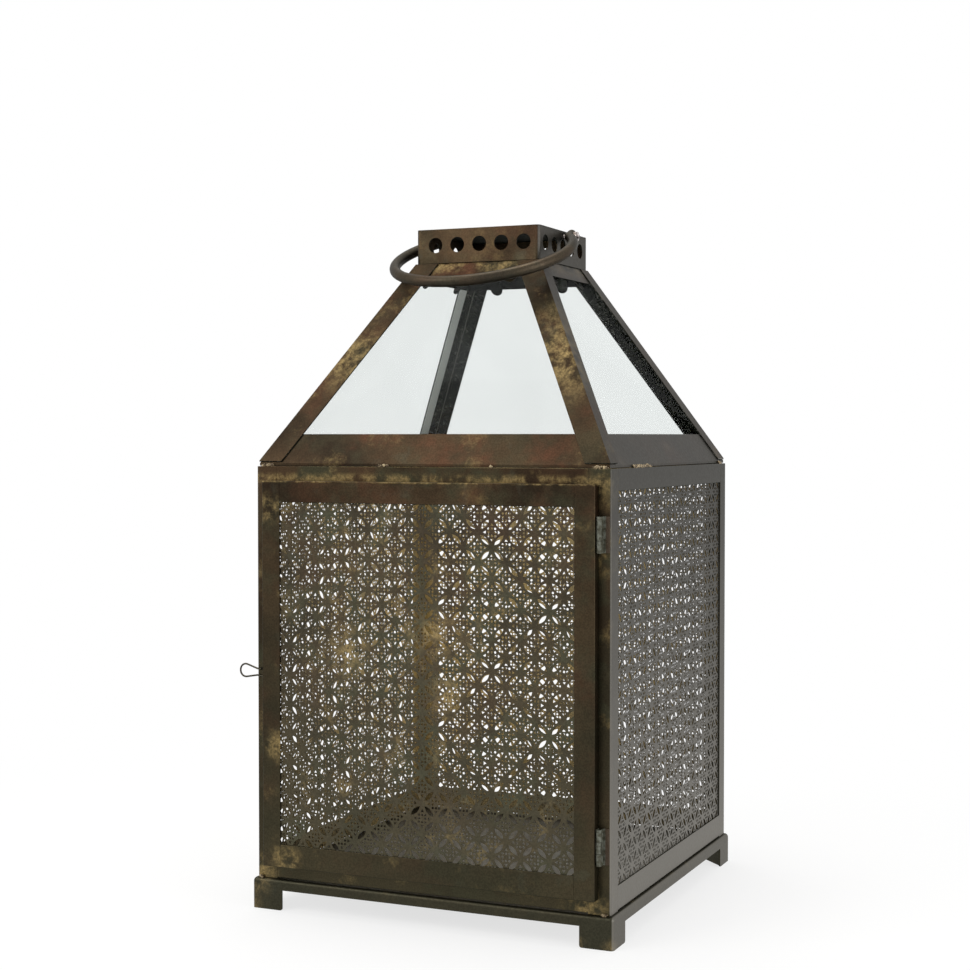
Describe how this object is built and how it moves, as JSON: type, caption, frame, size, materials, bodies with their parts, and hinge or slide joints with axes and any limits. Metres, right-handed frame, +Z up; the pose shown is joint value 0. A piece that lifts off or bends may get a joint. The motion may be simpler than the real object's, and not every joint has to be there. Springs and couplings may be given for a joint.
{
  "type": "lantern",
  "caption": "Square punched-metal lantern with a hinged door, glazed pyramid roof, vented collar and a swinging ring-shaped bail handle.",
  "frame": {"origin": "middle of the square footprint, on the surface that the four feet stand on", "axes": "+Z up through the collar, -Y out of the door, +X to the hinge side of the door"},
  "size_m": [0.2977, 0.2915, 0.5125],
  "materials": {
    "base": "aged bronze and ochre patina, satin",
    "frame": "aged bronze and ochre patina, satin",
    "punched_sheet": "aged bronze patina, satin, darker round the holes",
    "door_frame": "aged bronze and ochre patina, satin",
    "hinge": "plain steel with the frame's patina",
    "wire": "drawn wire, dull",
    "roof": "aged bronze and ochre patina, satin",
    "glass": "clear sheet glass",
    "clip": "bent sheet, dull",
    "collar": "aged bronze patina, satin",
    "bail": "dark patina, satin",
    "fastener": "plain steel, dull",
    "weld": "bright bead"
  },
  "bodies": {
    "lantern": {"bail_nuts": "fastener", "bail_studs": "fastener", "base_tray": "base", "base_welds": "weld", "collar": "collar", "collar_cap": "collar", "glass_back": "glass", "glass_clips": "clip", "glass_front": "glass", "glass_left": "glass", "glass_right": "glass", "hinge_lower_post_leaf": "hinge", "hinge_pins": "hinge", "hinge_upper_post_leaf": "hinge", "hip_back_left": "roof", "hip_back_right": "roof", "hip_front_left": "roof", "hip_front_right": "roof", "panel_back": "punched_sheet", "panel_left": "punched_sheet", "panel_right": "punched_sheet", "post_back_left": "frame", "post_back_right": "frame", "post_front_left": "frame", "post_front_right": "frame", "rail_back_bottom": "frame", "rail_back_top": "frame", "rail_front_bottom": "frame", "rail_front_top": "frame", "rail_left_bottom": "frame", "rail_left_top": "frame", "rail_right_bottom": "frame", "rail_right_top": "frame", "roof_head_back": "roof", "roof_head_front": "roof", "roof_head_left": "roof", "roof_head_right": "roof", "roof_skirt_back": "roof", "roof_skirt_front": "roof", "roof_skirt_left": "roof", "roof_skirt_right": "roof", "roof_welds": "weld"},
    "door": {"door_stile_left": "door_frame", "door_stile_right": "door_frame", "door_rail_top": "door_frame", "door_rail_bottom": "door_frame", "door_panel": "punched_sheet", "hinge_lower_door_leaf": "hinge", "hinge_upper_door_leaf": "hinge"},
    "bail": {"bail": "bail"},
    "latch": {"wire_latch": "wire"}
  },
  "joints": [
    {"name": "door_hinge", "type": "hinge", "parent": "lantern", "child": "door", "pos_m": [0.1332, -0.1455, 0.18], "axis": [0, 0, 1], "range_deg": [0, 110]},
    {"name": "bail_pivot", "type": "hinge", "parent": "lantern", "child": "bail", "pos_m": [0, 0, 0.5066], "axis": [-1, 0, 0], "range_deg": [-6, 229.2]},
    {"name": "latch_pivot", "type": "hinge", "parent": "lantern", "child": "latch", "pos_m": [-0.1363, -0.14095, 0.1795], "axis": [0, 1, 0], "range_deg": [0, 60]}
  ]
}
